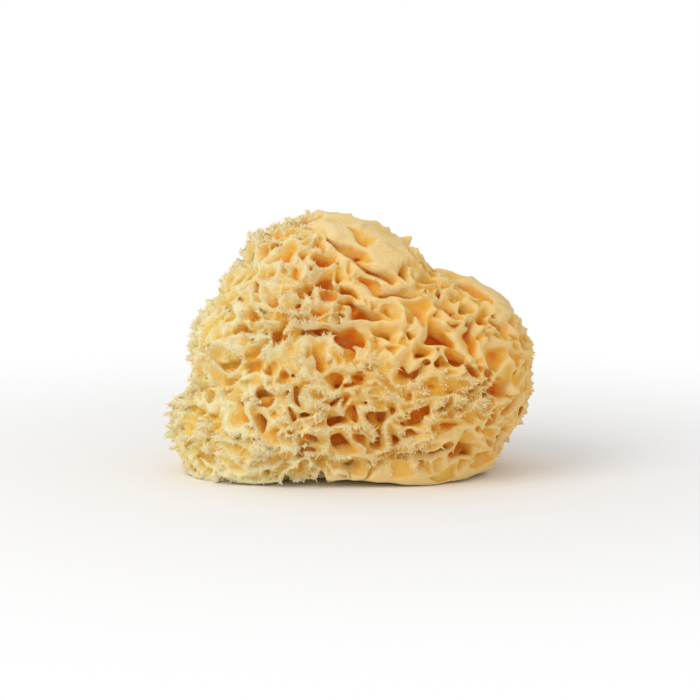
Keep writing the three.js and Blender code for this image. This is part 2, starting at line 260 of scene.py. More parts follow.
# Smaller pits that fill what the main ones leave. They need a wall to the next hollow, get their size from
# the room that is left, and keep off places calmer than CALM_SHARE. Again a least value comes first, and then
# how much chance may add to it, or for FILLER_DEPTH how much a millimetre of size adds
FILLER_CANDIDATES = 16000
FILLER_STRIDE = 6007
CALM_SHARE = 0.45
CALM_WALL = 1.0
RAGGED_WALL = 0.55
WALL_SHARE = (0.8, 0.5)
LEAST_ROOM = 0.7
MOST_ROOM = 2.9
FILLER_SWING = 2.0
FILLER_LENGTH = (0.62, 0.2)
FILLER_SLIMNESS = (0.65, 0.35)
FILLER_DEPTH = (1.4, 1.9)
FILLER_DEPTH_SHARE = (0.7, 0.6)
CUT_FILLER_SHARE = 0.5
FILLER_BOWL = 0.17
FILLER_BLEND = 0.3

# Canals that join the pits under the skin, their sizes also as least values and what chance may add
CANALS = 200
CANAL_STRIDE = 577
CANAL_ASIDE = [0.3, 0.5, 0.8]
CANAL_DEPTH = (4.0, 8.0)
CANAL_RADIUS = (1.1, 1.5)
CANAL_REACH = (1, 2.5)

# Tufts of longer spines on the front: across, up, half width and half height as the camera sees them
TUFTS = [
    (36.5, 34, 12, 4), (9.5, 43, 6, 3), (-22, 61, 8, 7), (-14.5, 33, 6, 4), (-8, 26, 6, 3), (2, 16, 8, 3),
    (-40, 8, 12, 4), (-52, 36, 6, 6), (-22, 46, 6, 4), (24, 12, 8, 3), (50, 27, 6, 4), (-62, 18, 6, 6),
]

# Spines: how deep under the skin they still grow, how squarely they face out, how sharp a ridge they need,
# how near the ground they end, how they stand and bend, the shares of their greatest sizes, as a least value
# and what chance may add, and each ring's place along the spine and share of its radius
SPINE_DEPTH = 1.8
SPINE_DEPTH_START = 1.3
FACING_GAIN = 1.5
RIDGE_GAIN = 5
ON_RIDGES = -0.6
ON_ALL_TOPS = 0.2
GROUND_FADE = 3
GROUND_CLEARANCE = 0.1
SPINE_OUTWARD = 0.7
SPINE_TILT = 0.45
SPINE_BEND = 0.3
SPINE_LENGTH = (0.35, 0.65)
SHORTNESS = 1.5
SPINE_RADIUS = (0.7, 0.6)
SPINE_RINGS = ((-0.15, 1.0), (0.5, 0.62))

# The grid and the meshes
GRID_LOW = (-80.0, -58.0, -4.0)
GRID_HIGH = (80.0, 60.0, 112.0)
FAR_FROM_PITS = 9.0
NOISE_PEAK = 2.2
RELAX_ROUNDS = 2
MOST_TRIANGLES = 196000

# Colour: by depth under the skin, where the pits darken and redden as painted shade, with painted light
# through the thin walls and a painted glow, and by how far a place stands out from its surroundings, where
# the wall tops are paler as painted light, and across and up in metres, where the left side is paler and the
# right darker as painted light and shade. Each pair of limits is where a colour starts and where it is full,
# and each pair of shares is for the smooth walls and what the ragged ones get more
COLOUR_DEPTH = 10.0
MOST_COLOUR_DEPTH = 1.5
CREST_ROUNDS = 24
CREST_PAINTED_LIGHT = 0.35
DEPTH_NOISE = 0.25
GOLDEN_DEPTHS = (-0.35, 0.25)
AMBER_DEPTHS = (0.1, 0.65)
DEEP_DEPTHS = (0.5, 1.2)
# Where the painted glow of the pits starts and where it is full
PAINTED_GLOW_DEPTHS = (0.0, 0.9)
# Where the left side's painted light turns into the right side's painted shade
PAINTED_SIDE_SHADE_ACROSS = (-0.045, 0.065)
CALM_WARMTH = 0.6
RED_ACROSS = (-0.045, 0.005)
RED_UP = (0.01, 0.034)
ACROSS_WAVER = 0.03
UP_WAVER = 0.02
MOTTLE_LIMITS = (0.45, 0.75)
MOTTLE_SHARE = 0.35
SPOT_LIMITS = (0.12, 0.26)
SPOT_SHARE = (0.3, 0.5)
SPOT_WAVER = 0.5
WART_SHARE = (0.35, 0.65)
WART_HEIGHT = 0.0011
WART_STRENGTH = 0.8
FINE_WARTS = 0.5
ROUND_WARTS = 0.8
DULLNESS = (0.62, 0.25)
SPINE_PATCHES = (0.4, 0.7)

# How many lumps of each kind of noise there are in a metre
LUMPS = {
    "waver": 28.0, "depth": 90.0, "mottle": 160.0, "spots": 420.0, "spot edges": 150.0, "warts": 800.0,
    "fine warts": 2000.0, "round warts": 620.0, "dullness": 300.0, "spine patches": 260.0,
}

# Light through the spongin, and a faint emission that carries the painted glow of the pits
TRANSLUCENCY_AND_PAINTED_GLOW = {
    "Subsurface Weight": 0.6,
    "Subsurface Radius": (1.0, 0.55, 0.18),
    "Subsurface Scale": 0.0035,
    "Specular IOR Level": 0.25,
    "Emission Strength": 0.07,
}

# Stage: the picture's middle, across and up from the origin as the camera sees it, and the width it shows
PICTURE_MIDDLE = (0.0002, 0.0497)
PICTURE_WIDTH = 0.2929
SENSOR_WIDTH = 36.0
NEAREST_SEEN = 0.01
FLOOR_FADE = (0.10, 0.38)
FLOOR_RINGS = 8
FLOOR_SPOKES = 64
FLOOR_HOLE = 0.02
KEY_PLACE = (-1.1, -1.05, 1.25)
KEY_SIZE = 1.2
FILL_PLACE = (0.15, -1.3, 0.2)
FILL_SIZE = 0.9
LAMP_COLOUR = (1.0, 0.98, 0.95)
LAMP_TARGET = (0.0, 0.0, 0.05)


def chance(index, salt):
    """A repeatable number from 0 to 1: the fraction of a large multiple of a sine."""
    value = np.sin(index * 12.9898 + salt * 78.233) * 43758.5453
    return value - np.floor(value)


def mix(start, end, share):
    """A number between two, by share."""
    return start + (end - start) * share


def spread(size, share):
    """A size from its least upwards, by the share of what it may get more."""
    least, more = size
    return least + more * share


def closed_curve(points, steps):
    """A closed Catmull-Rom curve: on each span a cubic in the share t, with slopes half the chord of its
    neighbours."""
    points = np.asarray(points, float)
    along = np.arange(steps) / steps * len(points)
    span = along.astype(int)
    t = (along - span)[:, None]
    before, start, end, after = (points[(span + k) % len(points)] for k in (-1, 0, 1, 2))
    slope_in, slope_out = (end - before) / 2, (after - start) / 2
    return (
        start
        + slope_in * t
        + (3 * (end - start) - 2 * slope_in - slope_out) * t**2
        + (2 * (start - end) + slope_in + slope_out) * t**3
    )


def outline_table():
    """The outline as distance from the heart against angle, sorted by angle."""
    curve = closed_curve(FRONT_OUTLINE, OUTLINE_STEPS) - HEART[[0, 2]]
    angle = np.arctan2(curve[:, 1], curve[:, 0])
    order = np.argsort(angle)
    return angle[order], np.hypot(curve[:, 0], curve[:, 1])[order]


OUTLINE_ANGLES, OUTLINE_RADII = outline_table()


def swell(x, y, z):
    """Lumps and slow waves of the skin: Gaussian bulges, plus three sines of the place."""
    waves = (
        np.sin(x / 11 + z / 17 + 0.6)
        + np.sin(y / 12 - z / 13 + 2.1)
        + np.sin(z / 9 - x / 19 + y / 21)
    )
    total = WAVE * waves / 3
    for bx, by, bz, height, width in BULGES:
        total = total + height * np.exp(-((x - bx) ** 2 + (y - by) ** 2 + (z - bz) ** 2) / width**2)
    return total


def cut_height(x, y):
    """Height of the cut above the ground: Gaussian rises, one for each instep."""
    return sum(
        high * np.exp(-(((x - across) / wide) ** 2) - ((y - along) / deep) ** 2)
        for across, along, wide, deep, high in INSTEPS
    )


def body_reach(x, y, z, r):
    """Distance from the heart to the rounded body in the direction of (x, y, z), whose length is r: a
    superellipse joins the outline's radius at that angle to the depth of the front or back."""
    across = np.hypot(x, z)
    radius = np.interp(np.arctan2(z, x), OUTLINE_ANGLES, OUTLINE_RADII, period=2 * math.pi)
    half = np.where(y < 0, DEPTH_FRONT, DEPTH_BACK)
    share = (across / radius) ** BOXINESS + (np.abs(y) / half) ** BOXINESS
    return r * share ** (-1 / BOXINESS)


def skin_gap(x, y, z):
    """Height of a point above the skin, below 0 inside: its distance from the heart less the body's reach
    there and the swell, or its depth under the cut, whichever is more."""
    ax, ay, az = x - HEART[0], y - HEART[1], z - HEART[2]
    r = np.sqrt(ax**2 + ay**2 + az**2) + 1e-6
    body = r - body_reach(ax, ay, az, r) - swell(x, y, z)
    return smooth_max(body, cut_height(x, y) - z, CUT_ROUNDING)


def skin_points(directions):
    """Points of the skin in unit directions from the heart, and whether each lies on the cut."""
    x, y, z = directions.T
    reach = body_reach(x, y, z, 1.0)
    rough = HEART + directions * reach[:, None]
    points = HEART + directions * (reach + swell(*rough.T))[:, None]
    cut = (z < 0) & (points[:, 2] <= cut_height(points[:, 0], points[:, 1]))
    level = HEART + directions * (HEART[2] / np.maximum(-z, 1e-6))[:, None]
    reach_cut = (HEART[2] - cut_height(level[:, 0], level[:, 1])) / np.maximum(-z, 1e-6)
    points[cut] = (HEART + directions * reach_cut[:, None])[cut]
    return points, cut


def skin_normal(point):
    """Outward unit normal of the skin: the slope of its gap, by differences over a short step."""
    steps = SLOPE_STEP * np.eye(3)
    slope = np.array([skin_gap(*(point + step)) - skin_gap(*(point - step)) for step in steps])
    return slope / np.linalg.norm(slope)


def smooth_max(a, b, blend):
    """The larger of a and b, with the crease between them rounded over a width of blend."""
    near = np.maximum(blend - np.abs(a - b), 0) / blend
    return np.maximum(a, b) + near * near * blend * 0.25


def smooth_min(a, b, blend):
    """The smaller of a and b, with the crease between them rounded over a width of blend."""
    near = np.maximum(blend - np.abs(a - b), 0) / blend
    return np.minimum(a, b) - near * near * blend * 0.25


def scattered_directions(count, stride):
    """A golden-angle spiral over the sphere, walked in steps of stride so that neighbours come far apart."""
    k = (np.arange(count) * stride) % count
    height = 1 - (2 * k + 1) / count
    ring = np.sqrt(1 - height**2)
    golden = math.pi * (3 - math.sqrt(5))
    return np.stack([ring * np.cos(k * golden), ring * np.sin(k * golden), height], axis=1)


def seen_points(rows):
    """Where the line of sight to each listed pit first meets the skin, to half a millimetre."""
    sight = np.array([0.0, math.cos(VIEW_DOWN), -math.sin(VIEW_DOWN)])
    across, up = rows[:, 0], rows[:, 1]
    start = np.stack([across, up * math.sin(VIEW_DOWN), up * math.cos(VIEW_DOWN)], axis=1)
    t = np.arange(-2 * DEPTH_FRONT, SIGHT_STEP, SIGHT_STEP)
    path = start[:, None, :] + t[None, :, None] * sight
    inside = skin_gap(path[..., 0], path[..., 1], path[..., 2]) < 0
    inside[:, -1] = True
    return path[np.arange(len(rows)), inside.argmax(axis=1)]


def place_pits():
    """Every main pit as a row: its point on the skin, half length, half width, turn and depth. The listed
    ones come first, and the walk over the skin fills the room that they leave."""
    listed = np.array(FRONT_PITS, float)
    pits = [(*point, *row[2:6]) for point, row in zip(seen_points(listed), listed)]
    points = [np.array(row[:3]) for row in pits] + [np.zeros(3)]
    rooms = [(PIT_SPACING + row[3]) / 2 for row in pits] + [PAD_RADIUS]
    skin, cut = skin_points(scattered_directions(CANDIDATES, STRIDE))
    for n, point in enumerate(skin):
        room = (PIT_SPACING + SPACING_SWING * math.sin(point[0] / SPACING_WAVE)) / 2
        away = np.linalg.norm(np.array(points) - point, axis=1)
        if (away < np.array(rooms) + room).any():
            continue
        points.append(point)
        rooms.append(room)
        long = (room - PIT_MARGIN) * spread(PIT_SIZE, chance(n, 4))
        wide = long * spread(PIT_SLIMNESS, chance(n, 5))
        depth = spread(CUT_PIT_DEPTH if cut[n] else PIT_DEPTH, chance(n, 1))
        pits.append((*point, long, wide, 180 * chance(n, 6), depth))
    return np.array(pits)


def smooth_noise(axes, spacing, seed):
    """Smooth noise on a grid: random heights on a lattice of the given spacing, blended along each axis in
    turn by the four weights of a cubic B-spline. Its values spread over about -1 to 1."""
    rng = np.random.default_rng(seed)
    weights = []
    for axis, wavelength in zip(axes, np.broadcast_to(spacing, 3)):
        place = (axis - axis[0]) / wavelength
        start = place.astype(int)
        t = place - start
        spline = [(1 - t) ** 3, 3 * t**3 - 6 * t**2 + 4, -3 * t**3 + 3 * t**2 + 3 * t + 1, t**3]
        blend = np.zeros((len(axis), start.max() + 4), np.float32)
        for k, part in enumerate(spline):
            blend[np.arange(len(axis)), start + k] = part / 6
        weights.append(blend)
    values = rng.uniform(-NOISE_PEAK, NOISE_PEAK, [w.shape[1] for w in weights]).astype(np.float32)
    for w in weights:
        values = np.moveaxis(np.tensordot(w, values, axes=(1, 0)), 0, 2)
    return values


def calmness(x, y, z):
    """How smooth the skin is, from 0: fourth-power Gaussians of the place in each sloping band, which fade
    out behind the crest, and one along the foot of the front."""
    foot_x, foot_z, foot_long, foot_high = FOOT
    total = np.exp(-(((x - foot_x) / foot_long) ** 4) - ((z - foot_z) / foot_high) ** 4) * (y < 0)
    for bx, bz, slope, long, wide, back, share in BANDS:
        cos, sin = math.cos(math.radians(slope)), math.sin(math.radians(slope))
        along = (x - bx) * cos + (z - bz) * sin
        across = (z - bz) * cos - (x - bx) * sin
        front = share / (1 + np.exp((y - back) / BAND_FADE))
        total = total + np.exp(-((along / long) ** 4) - (across / wide) ** 4) * front
    return total


def patch(across, up, middle_across, middle_up, wide, high, strength=1):
    """A Gaussian of the place across and up, around its middle."""
    return strength * np.exp(-(((across - middle_across) / wide) ** 2) - ((up - middle_up) / high) ** 2)


def raggedness(x, y, z):
    """How rough the walls are, 0 to 1: full on the left and falling smoothly to the right, sooner in the
    upper half, less a Gaussian over the crown and the calm places, and more in a band of fringe low on the
    right."""
    edge = mix(LOW_EDGE, HIGH_EDGE, 1 / (1 + np.exp((EDGE_HEIGHT - z) / EDGE_STEP)))
    left = 1 / (1 + np.exp((x - edge) / EDGE_WIDTH))
    crown, fringe = patch(x, z, *SMOOTH_CROWN), patch(x, z, *FRINGE)
    return np.clip(left - crown - calmness(x, y, z) + fringe, LEAST_RAGGED, 1)


def pit_gap(arm, inward, long, wide, turn, depth, bowl_share, lobe_turn):
    """How far points are outside a pit, given the arms to them from its mouth: the larger of the distance
    to an elliptic throat with three lobes, less a bowl that grows evenly upwards from its depth, and of the
    depth below its floor."""
    level = np.array([1.0, 0.0, 0.0]) - inward * inward[0]
    level /= np.linalg.norm(level)
    first = level * math.cos(turn) + np.cross(level, inward) * math.sin(turn)
    second = np.cross(inward, first)
    down = sum(p * a for p, a in zip(arm, inward))
    u = sum(p * a for p, a in zip(arm, first)) / long
    v = sum(p * a for p, a in zip(arm, second)) / wide
    aside = np.sqrt((u * long) ** 2 + (v * wide) ** 2) + 1e-4
    lift = 1 + BOWL_LIFT * (u * long * first[2] + v * wide * second[2]) / aside
    lobes = 1 + LOBE_HEIGHT * np.cos(LOBES * np.arctan2(v, u) + lobe_turn)
    ring = np.sqrt(u**2 + v**2) * lobes + 1e-4
    slope = np.sqrt((u / long) ** 2 + (v / wide) ** 2) + 1e-5
    bowl = bowl_share * BOWL_SPREAD * lift * smooth_max(BOWL_DEPTH - down, 0, BOWL_ROUNDING)
    throat = (ring - 1 + NARROWING * np.clip(down / depth, 0, 1) ** 2) * ring / slope
    tube = (throat - bowl) * BOWL_SLANT
    return smooth_max(tube, down - depth, min(FLOOR_ROUNDING, depth / 2))


class Block:
    """A grid over the whole body, and the hollow cut into it so far: below 0 inside a pit, pore or canal."""

    def __init__(self, pitch):
        self.pitch = pitch
        self.axes = [np.arange(a, b, pitch, dtype=np.float32) for a, b in zip(GRID_LOW, GRID_HIGH)]
        self.grid = np.meshgrid(*self.axes, indexing="ij", sparse=True)
        self.gap = skin_gap(*self.grid).astype(np.float32)
        self.hollow = np.full(self.gap.shape, FAR_FROM_PITS, np.float32)
        fine = FINE_BEND_HEIGHT * mix(CALM_BEND, 1, raggedness(*self.grid)).astype(np.float32)
        self.bend = [
            BEND_HEIGHT * smooth_noise(self.axes, BEND_LENGTH, seed)
            + fine * smooth_noise(self.axes, FINE_BEND_LENGTH, seed + FINE_SEED_STEP)
            for seed in BEND_SEEDS
        ]

    def part(self, low, high):
        """The slices of the grid between two corners, and the bent place of each point there."""
        cuts = tuple(slice(*np.searchsorted(axis, (a, b))) for axis, a, b in zip(self.axes, low, high))
        grid = np.meshgrid(*(axis[cut] for axis, cut in zip(self.axes, cuts)), indexing="ij", sparse=True)
        return cuts, [g + bend[cuts] for g, bend in zip(grid, self.bend)]

    def hollow_at(self, point):
        """How far the nearest hollow is from a point, to the nearest of the grid's points."""
        index = ((point - [axis[0] for axis in self.axes]) / self.pitch).round().astype(int)
        return float(self.hollow[tuple(index)])

    def sink_pit(self, mouth, inward, long, wide, turn, depth, bowl_share=1.0, blend=PIT_BLEND):
        """Joins a pit to the hollow by a rounded minimum, in the part of the grid around it."""
        half = np.abs(inward) * (depth / 2 + PIT_END_ROOM) + long * PIT_SIDE_SHARE + PIT_SIDE_ROOM
        middle = mouth + inward * (depth / 2 - PIT_BOX_LIFT)
        cuts, place = self.part(middle - half, middle + half)
        arm = [p - m for p, m in zip(place, mouth)]
        pit = pit_gap(arm, inward, long, wide, turn, depth, bowl_share, mouth.sum())
        self.hollow[cuts] = smooth_min(self.hollow[cuts], pit, blend)

    def sink_canal(self, centre, radius, reach):
        """A canal: the distance to a short line through its centre, less its radius."""
        half = radius + np.abs(reach) + CANAL_ROOM
        cuts, place = self.part(centre - half, centre + half)
        arm = [p - c for p, c in zip(place, centre)]
        along = np.clip(sum(p * s for p, s in zip(arm, reach)) / float(reach @ reach), -1, 1)
        away = np.sqrt(sum((p - along * s) ** 2 for p, s in zip(arm, reach)))
        self.hollow[cuts] = smooth_min(self.hollow[cuts], away - radius, CANAL_BLEND)


def leaning_inward(mouth):
    """The way into a pit: the skin's normal turned inwards and leant down by LEAN where it is level."""
    inward = -skin_normal(mouth)
    inward[2] -= LEAN * (1 - abs(inward[2]))
    return inward / np.linalg.norm(inward)


def sink_main_pits(block):
    """Cuts the main pits along the skin's normal, leant down by LEAN. Those that aren't listed keep off the
    smooth places."""
    for n, (x, y, z, long, wide, turn, depth) in enumerate(place_pits()):
        mouth = np.array([x, y, z])
        if n >= len(FRONT_PITS) and calmness(x, y, z) > CALM_SHARE:
            continue
        long, wide = (max(THROAT_SHARE * half - THROAT_INSET, LEAST_HALF_WIDTH) for half in (long, wide))
        block.sink_pit(mouth, leaning_inward(mouth), long, wide, math.radians(turn), depth)


def sink_slits(block):
    """Cuts the slits, which widen very little."""
    rows = np.array(SLITS, float)
    for mouth, (long, wide, turn, depth) in zip(seen_points(rows), rows[:, 2:]):
        block.sink_pit(mouth, leaning_inward(mouth), long, wide, math.radians(turn), depth, SLIT_BOWL)


def sink_fillers(block):
    """Cuts smaller pits where the skin is still unbroken: a walk over the skin looks up how far the nearest
    hollow is, and a pit that leaves a thin wall to it goes wherever there is room. Calm walls are left
    thicker."""
    points, cut = skin_points(scattered_directions(FILLER_CANDIDATES, FILLER_STRIDE))
    for n, point in enumerate(points):
        rough = float(raggedness(*point))
        wall = mix(CALM_WALL, RAGGED_WALL, rough) * spread(WALL_SHARE, chance(n, 7))
        room = block.hollow_at(point) - wall
        calm = float(calmness(*point)) > CALM_SHARE
        if calm or room < LEAST_ROOM or np.linalg.norm(point) < PAD_RADIUS:
            continue
        inward = HEART - point
        inward /= np.linalg.norm(inward)
        size = min(room, MOST_ROOM)
        long = size * spread(FILLER_LENGTH, chance(n, 8))
        wide = long * spread(FILLER_SLIMNESS, chance(n, 9))
        depth = spread(FILLER_DEPTH, size) * spread(FILLER_DEPTH_SHARE, chance(n, 11))
        depth = depth * (CUT_FILLER_SHARE if cut[n] else 1)
        turn = FILLER_SWING * (chance(n, 10) - 0.5)
        block.sink_pit(point, inward, long, wide, turn, depth, FILLER_BOWL * size, FILLER_BLEND)


def sink_canals(block):
    """Cuts canals that run level with the skin, some way under it, and open windows between the pits."""
    points = skin_points(scattered_directions(CANALS, CANAL_STRIDE))[0]
    for n in range(CANALS):
        outward = points[n] - HEART
        outward /= np.linalg.norm(outward)
        side = np.cross(outward, CANAL_ASIDE)
        side /= np.linalg.norm(side)
        turn = 2 * math.pi * chance(n, 13)
        along = side * math.cos(turn) + np.cross(outward, side) * math.sin(turn)
        centre = points[n] - outward * spread(CANAL_DEPTH, chance(n, 12))
        reach = along * spread(CANAL_REACH, chance(n, 15))
        block.sink_canal(centre, spread(CANAL_RADIUS, chance(n, 14)), reach)


def ridge_lines(block, lengths, width, seed):
    """Sharp lines, 0 to 1, where smooth noise passes through 0."""
    return np.clip(1 - np.abs(smooth_noise(block.axes, lengths, seed)) / width, 0, 1)


def outer_field(block, rough, calm, grain, rise, tip_height):
    """The skin, let in between the walls and raised where walls meet, with folds and tips, with bands and
    their creases, and cut off at the ground."""
    z = block.grid[2]
    above_cut = np.clip(z / CUT_FADE - CUT_FADE_START, 0, 1)
    swing = np.clip(1 + RISE_SWING * smooth_noise(block.axes, RISE_LENGTH, SEEDS["rise"]), *SWING_LIMITS)
    relief = mix(CALM_RELIEF, 1, rough) * (1 - BAND_FLATNESS * calm)
    raised = relief * rise * swing * np.clip(block.hollow / RISE_WIDTH, 0, 1)
    folds = ridge_lines(block, FOLD_LENGTHS, FOLD_WIDTH, SEEDS["folds"])
    raised = raised + FOLD_HEIGHT * folds * (1 - RAGGED_FOLDS * rough) * (1 - calm)
    tips = tip_height * rough * np.maximum(smooth_noise(block.axes, TIP_LENGTH, SEEDS["tips"]), 0)
    outer = block.gap + (relief * WALL_INSET - raised - tips) * above_cut + grain
    creases = ridge_lines(block, CREASE_LENGTHS, CREASE_WIDTH, SEEDS["creases"])
    outer = outer - (BAND_RISE + CREASE_HEIGHT * creases) * calm * (z > HEART[2])
    return np.maximum(outer, -z)


def hollow_field(block, rough, calm, grain):
    """The hollow with its edges torn, joined to fine pores."""
    torn = TEAR_HEIGHT * mix(CALM_TEAR, 1, rough) * smooth_noise(block.axes, TIP_LENGTH, SEEDS["tears"])
    pores = mix(CALM_PORES, RAGGED_PORES, rough) - smooth_noise(block.axes, PORE_LENGTH, SEEDS["pores"])
    pores = pores + BAND_PORES * calm
    return np.minimum(block.hollow + grain + torn, PORE_STEEPNESS * pores)


def sponge_field(pitch, rise, tip_height):
    """The grid's axes and the field whose zero surface is the sponge: the outer field less the hollow, with
    the edge between them rounded more where the walls are calm."""
    block = Block(pitch)
    for sink in (sink_main_pits, sink_slits, sink_fillers, sink_canals):
        sink(block)
    rough = raggedness(*block.grid).astype(np.float32)
    calm = np.clip(calmness(*block.grid), 0, 1)
    grain = GRAIN_HEIGHT * smooth_noise(block.axes, GRAIN_LENGTH, SEEDS["grain"])
    outer = outer_field(block, rough, calm, grain, rise, tip_height)
    hollow = hollow_field(block, rough, calm, grain)
    solid = smooth_max(outer, -hollow, EDGE_ROUNDING + CALM_ROUNDING * (1 - rough))
    return block.axes, solid.astype(np.float32)


def mesh_field(axes, values):
    """Surface nets: one vertex in each grid cell that the surface crosses, at the mean of its crossings of
    the cell's edges, and one quad around each grid edge that it crosses. Returns the vertices, and the
    quads facing out."""
    inside = values < 0
    shape = np.array(values.shape)
    corners = [(i, j, k) for i in (0, 1) for j in (0, 1) for k in (0, 1)]
    count = np.zeros(shape - 1, np.uint8)
    for i, j, k in corners:
        count += inside[i : shape[0] - 1 + i, j : shape[1] - 1 + j, k : shape[2] - 1 + k]
    cells = np.argwhere((count > 0) & (count < 8))
    names = np.full(shape - 1, -1, np.int32)
    names[tuple(cells.T)] = np.arange(len(cells))
    total = np.zeros((len(cells), 3))
    crossings = np.zeros((len(cells), 1))
    for a in corners:
        for axis in range(3):
            if a[axis]:
                continue
            step = (np.arange(3) == axis).astype(int)
            start, end = values[tuple((cells + a).T)], values[tuple((cells + a + step).T)]
            crossed = ((start < 0) != (end < 0))[:, None]
            share = (start / np.where(start == end, 1, start - end))[:, None]
            total += np.where(crossed, a + share * step, 0)
            crossings += crossed
    origin = np.array([axis[0] for axis in axes])
    vertices = origin + (cells + total / crossings) * (axes[0][1] - axes[0][0])
    return vertices, np.concatenate([edge_quads(inside, names, axis) for axis in range(3)])


def edge_quads(inside, names, axis):
    """One quad around each grid edge along an axis with one end inside: the four cells that share the edge,
    in an anticlockwise ring as seen from outside."""
    ends = [slice(0, -1), slice(1, None)]
    low, high = (inside[tuple(end if n == axis else slice(1, -1) for n in range(3))] for end in ends)
    edges = np.argwhere(low != high) + (np.arange(3) != axis)
    one = (np.arange(3) == (axis + 1) % 3).astype(int)
    two = (np.arange(3) == (axis + 2) % 3).astype(int)
    ring = [edges, edges - one, edges - one - two, edges - two]
    quads = np.stack([names[tuple(cell.T)] for cell in ring], axis=1)
    leaving = inside[tuple(edges.T)]
    quads[~leaving] = quads[~leaving][:, ::-1]
    return quads


def quad_edges(quads):
    """The edges of every quad, as pairs of vertices."""
    return np.concatenate([quads[:, [k, (k + 1) % 4]] for k in range(4)])


def both_ways(pairs):
    """Pairs of neighbours and the same pairs turned round, as two arrays: ends, and their neighbours."""
    return np.concatenate([pairs, pairs[:, ::-1]]).T


def total_at(ends, values, count):
    """For each vertex, the sum of the rows of values whose end it is."""
    return np.stack([np.bincount(ends, column, minlength=count) for column in values.T], axis=1)


def neighbours_mean(ends, others, values):
    """For each vertex, the mean of some values over its neighbours."""
    degree = np.maximum(np.bincount(ends, minlength=len(values)), 1)
    return total_at(ends, values[others], len(values)) / degree[:, None]


def largest_shell(vertices, quads):
    """Keeps the shell with the most vertices: every vertex takes the least name among its neighbours until
    none changes, and each shell then shares one name."""
    pairs = quad_edges(quads)
    name = np.arange(len(vertices))
    while True:
        least = np.minimum(name[pairs[:, 0]], name[pairs[:, 1]])
        fresh = name.copy()
        np.minimum.at(fresh, pairs[:, 0], least)
        np.minimum.at(fresh, pairs[:, 1], least)
        fresh = fresh[fresh]
        if (fresh == name).all():
            break
        name = fresh
    keep = name == np.bincount(name).argmax()
    renumber = np.cumsum(keep) - 1
    return vertices[keep], renumber[quads[keep[quads[:, 0]]]]


def relax(vertices, quads, rounds):
    """Each vertex moves half of the way to the mean of its neighbours, several times over."""
    ends, others = both_ways(quad_edges(quads))
    for _ in range(rounds):
        vertices = (vertices + neighbours_mean(ends, others, vertices)) / 2
    return vertices


def new_object(name, vertices, faces):
    """A smooth mesh object at the origin, from arrays of vertices and of faces with the same number of
    corners."""
    mesh = bpy.data.meshes.new(name)
    mesh.vertices.add(len(vertices))
    mesh.vertices.foreach_set("co", np.ascontiguousarray(vertices, np.float32).ravel())
    mesh.loops.add(faces.size)
    mesh.loops.foreach_set("vertex_index", np.ascontiguousarray(faces, np.int32).ravel())
    mesh.polygons.add(len(faces))
    mesh.polygons.foreach_set("loop_start", np.arange(len(faces), dtype=np.int32) * faces.shape[1])
    mesh.update(calc_edges=True)
    mesh.validate()
    mesh.shade_smooth()
    made = bpy.data.objects.new(name, mesh)
    bpy.context.scene.collection.objects.link(made)
    return made


def thin_out(made, triangles):
    """Collapses the least needed edges of an object until it has this many triangles, and applies that."""
    step = made.modifiers.new("thin out", "DECIMATE")
    step.ratio = triangles / (2 * len(made.data.polygons))
    graph = bpy.context.evaluated_depsgraph_get()
    rough = made.data
    finished = bpy.data.meshes.new_from_object(made.evaluated_get(graph))
    made.modifiers.clear()
    made.data = finished
    bpy.data.meshes.remove(rough)
    finished.name = made.name
    finished.shade_smooth()


def mesh_array(items, field, width, kind=np.float32):
    """One property of all of a mesh's items as an array of the given width."""
    flat = np.empty(len(items) * width, kind)
    items.foreach_get(field, flat)
    return flat.reshape(-1, width)


def set_attribute(mesh, name, values):
    """A number for each vertex, for the materials to read."""
    layer = mesh.attributes.new(name, "FLOAT", "POINT")
    layer.data.foreach_set("value", np.ascontiguousarray(values, np.float32))


def mesh_neighbours(mesh):
    """A mesh's vertices and their neighbours, as both_ways gives them."""
    return both_ways(mesh_array(mesh.edges, "vertices", 2, np.int32))


def crest_height(mesh, places):
    """How far each vertex stands out from a much smoothed copy of the surface, in millimetres along its
    normal: above 0 on the wall tops, below 0 in the hollows."""
    ends, others = mesh_neighbours(mesh)
    smooth = places.copy()
    for _ in range(CREST_ROUNDS):
        smooth = (smooth + neighbours_mean(ends, others, smooth)) / 2
    return ((places - smooth) * mesh_array(mesh.vertex_normals, "vector", 3)).sum(axis=1)


def finish_piece(made, material):
    """What every piece gets: its material and the body it rides on."""
    made.data.materials.append(material)
    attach(made, "root")


def spine_mesh(roots, directions, sideways, lengths, radii):
    """Spines: three corners around the root, three around a middle that is bent sideways, and one tip. Each
    is the path root + t * direction + t squared * bend, with the radius falling from the root to
    nothing."""
    first = np.cross(directions, sideways)
    first /= np.linalg.norm(first, axis=1, keepdims=True)
    second = np.cross(directions, first)
    corners = []
    for t, share in SPINE_RINGS:
        centre = roots + lengths * (t * directions + t * t * sideways)
        for k in range(3):
            angle = 2 * math.pi * k / 3
            corners.append(centre + radii * share * (math.cos(angle) * first + math.sin(angle) * second))
    corners.append(roots + lengths * (directions + sideways))
    vertices = np.stack(corners, axis=1).reshape(-1, 3)
    sides = []
    for k in range(3):
        a, b = k, (k + 1) % 3
        sides += [(a, b, b + 3), (a, b + 3, a + 3), (a + 3, b + 3, 6)]
    sides.append((2, 1, 0))
    starts = np.arange(len(roots))[:, None, None] * 7
    return vertices, (starts + np.array(sides)).reshape(-1, 3)


def ridge_sharpness(mesh, places):
    """How far each vertex stands out from the mean of its neighbours along its normal, over its mean edge
    length."""
    ends, others = mesh_neighbours(mesh)
    arm = places[others] - places[ends]
    total = total_at(ends, arm, len(places))
    length = np.bincount(ends, np.linalg.norm(arm, axis=1), minlength=len(places))
    normals = mesh_array(mesh.vertex_normals, "vector", 3)
    return -(total * normals).sum(axis=1) / np.maximum(length, 1e-6)


